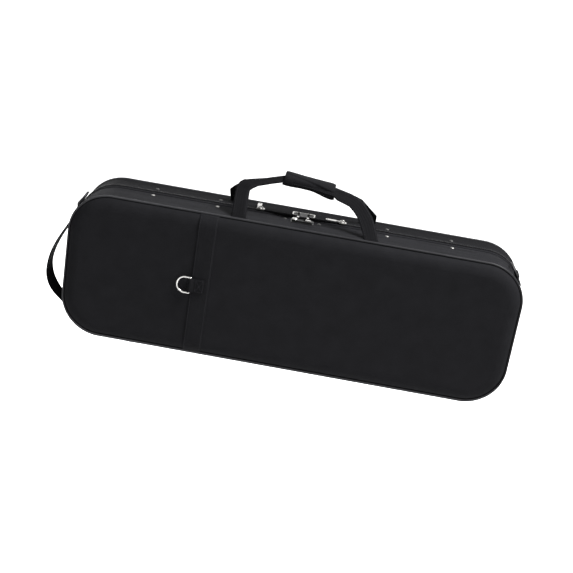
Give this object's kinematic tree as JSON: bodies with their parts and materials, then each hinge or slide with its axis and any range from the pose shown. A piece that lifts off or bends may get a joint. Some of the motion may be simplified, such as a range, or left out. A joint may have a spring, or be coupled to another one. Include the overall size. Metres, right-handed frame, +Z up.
{
  "type": "violin case",
  "caption": "Oblong hard-shell violin case in black padded fabric, with a hinged lid, two-way zip, hasp latch, webbing handle, strap rings and a fitted plush interior.",
  "frame": {"origin": "on the floor plane under the middle of the case, midway between the four feet", "axes": "+X along the case towards its right end, +Y from the back of the case towards its lid, +Z up towards the handle"},
  "size_m": [0.8231, 0.1531, 0.344],
  "materials": {
    "cover_fabric": "matte",
    "piping": "satin",
    "webbing": "matte",
    "grip_wrap": "matte",
    "shell_foam": "matte",
    "plush": "matte",
    "nickel": "polished",
    "dark_metal": "satin",
    "zip_tape": "matte",
    "zip_coil": "satin",
    "foot_rubber": "matte",
    "spinner_plastic": "satin"
  },
  "bodies": {
    "base": {"base_panel": "shell_foam", "base_rim_frame": "shell_foam", "base_face_fabric": "cover_fabric", "base_rim_fabric": "cover_fabric", "base_piping": "piping", "back_band": "webbing", "band_ring_tab": "webbing", "corner_ring_tabs": "webbing", "end_strap": "webbing", "base_rivets": "nickel", "base_zip_tape": "zip_tape", "base_zip_teeth": "zip_coil", "lock_plate": "dark_metal", "lock_case": "nickel", "hinge_base_leaves": "nickel", "hinge_pins": "nickel", "base_feet": "foot_rubber", "base_liner": "plush", "tray_floor": "plush", "tray_left": "plush", "tray_middle": "plush", "tray_right": "plush", "neck_cradle": "plush", "neck_strap": "webbing", "accessory_box": "plush"},
    "lid": {"lid_panel": "shell_foam", "lid_rim_frame": "shell_foam", "lid_face_fabric": "cover_fabric", "lid_rim_fabric": "cover_fabric", "lid_piping": "piping", "lid_rivets": "nickel", "lid_zip_tape": "zip_tape", "lid_zip_teeth": "zip_coil", "catch_plate": "nickel", "hasp_pin": "dark_metal", "hinge_lid_leaves": "nickel", "lid_feet": "foot_rubber", "lid_liner": "plush", "bow_rests": "plush", "bow_tip_loops": "plush"},
    "hasp": {"hasp": "dark_metal"},
    "back_ring": {"band_ring": "nickel"},
    "left_ring": {"corner_ring_left": "dark_metal"},
    "right_ring": {"corner_ring_right": "dark_metal"},
    "left_slider": {"zip_slider_left": "nickel"},
    "left_pull": {"zip_pull_left": "nickel"},
    "right_slider": {"zip_slider_right": "nickel"},
    "right_pull": {"zip_pull_right": "nickel"},
    "button": {"lock_button": "nickel"},
    "barrel": {"key_barrel": "nickel"},
    "back_handle": {"base_handle_strap": "webbing", "handle_wrap": "grip_wrap"},
    "lid_handle": {"lid_handle_strap": "webbing"},
    "pocket_lid": {"accessory_lid": "plush", "accessory_lid_loop": "webbing"},
    "upper_spinner": {"bow_spinner_upper": "spinner_plastic"},
    "lower_spinner": {"bow_spinner_lower": "spinner_plastic"}
  },
  "joints": [
    {"name": "lid_hinge", "type": "hinge", "parent": "base", "child": "lid", "pos_m": [0, 0.01, 0.0058], "axis": [-1, 0, 0], "range_deg": [0, 100]},
    {"name": "hasp_hinge", "type": "hinge", "parent": "lid", "child": "hasp", "pos_m": [0, 0.018, 0.2684], "axis": [-1, 0, 0], "range_deg": [0, 140]},
    {"name": "back_ring_swing", "type": "hinge", "parent": "base", "child": "back_ring", "pos_m": [-0.171, -0.0773, 0.136], "axis": [0, 0, 1], "range_deg": [0, 165]},
    {"name": "left_ring_swing", "type": "hinge", "parent": "base", "child": "left_ring", "pos_m": [-0.38473, -0.025, 0.23408], "axis": [0, -1, 0], "range_deg": [0, 140]},
    {"name": "right_ring_swing", "type": "hinge", "parent": "base", "child": "right_ring", "pos_m": [0.37855, -0.025, 0.24229], "axis": [0, 1, 0], "range_deg": [0, 140]},
    {"name": "left_slider_travel", "type": "slide", "parent": "base", "child": "left_slider", "axis": [1, 0, 0], "range_m": [-0.23, 0.05]},
    {"name": "left_pull_turn", "type": "hinge", "parent": "left_slider", "child": "left_pull", "pos_m": [-0.0796, 0.01, 0.2685], "axis": [0, 0, 1], "range_deg": [0, 180]},
    {"name": "right_slider_travel", "type": "slide", "parent": "base", "child": "right_slider", "axis": [1, 0, 0], "range_m": [-0.03, 0.235]},
    {"name": "right_pull_flip", "type": "hinge", "parent": "right_slider", "child": "right_pull", "pos_m": [0.069, 0.01, 0.2685], "axis": [0, 1, 0], "range_deg": [0, 105]},
    {"name": "button_push", "type": "slide", "parent": "base", "child": "button", "axis": [-1, 0, 0], "range_m": [0, 0.003], "stiffness_N_per_m": 200, "springref_m": -0.003},
    {"name": "key_turn", "type": "hinge", "parent": "base", "child": "barrel", "pos_m": [-0.013, -0.019, 0.2662], "axis": [0, 0, 1], "range_deg": [0, 90]},
    {"name": "back_handle_flop", "type": "hinge", "parent": "base", "child": "back_handle", "pos_m": [0, -0.05, 0.2656], "axis": [1, 0, 0], "range_deg": [0, 105]},
    {"name": "lid_handle_flop", "type": "hinge", "parent": "lid", "child": "lid_handle", "pos_m": [0, 0.045, 0.2656], "axis": [-1, 0, 0], "range_deg": [0, 105]},
    {"name": "pocket_lid_hinge", "type": "hinge", "parent": "base", "child": "pocket_lid", "pos_m": [-0.102, -0.0095, 0.033], "axis": [-1, 0, 0], "range_deg": [0, 90]},
    {"name": "upper_spinner_turn", "type": "hinge", "parent": "lid", "child": "upper_spinner", "pos_m": [0.276, 0.04, 0.166], "axis": [0, 1, 0], "range_deg": [0, 90]},
    {"name": "lower_spinner_turn", "type": "hinge", "parent": "lid", "child": "lower_spinner", "pos_m": [0.276, 0.04, 0.106], "axis": [0, 1, 0], "range_deg": [0, 90]}
  ]
}
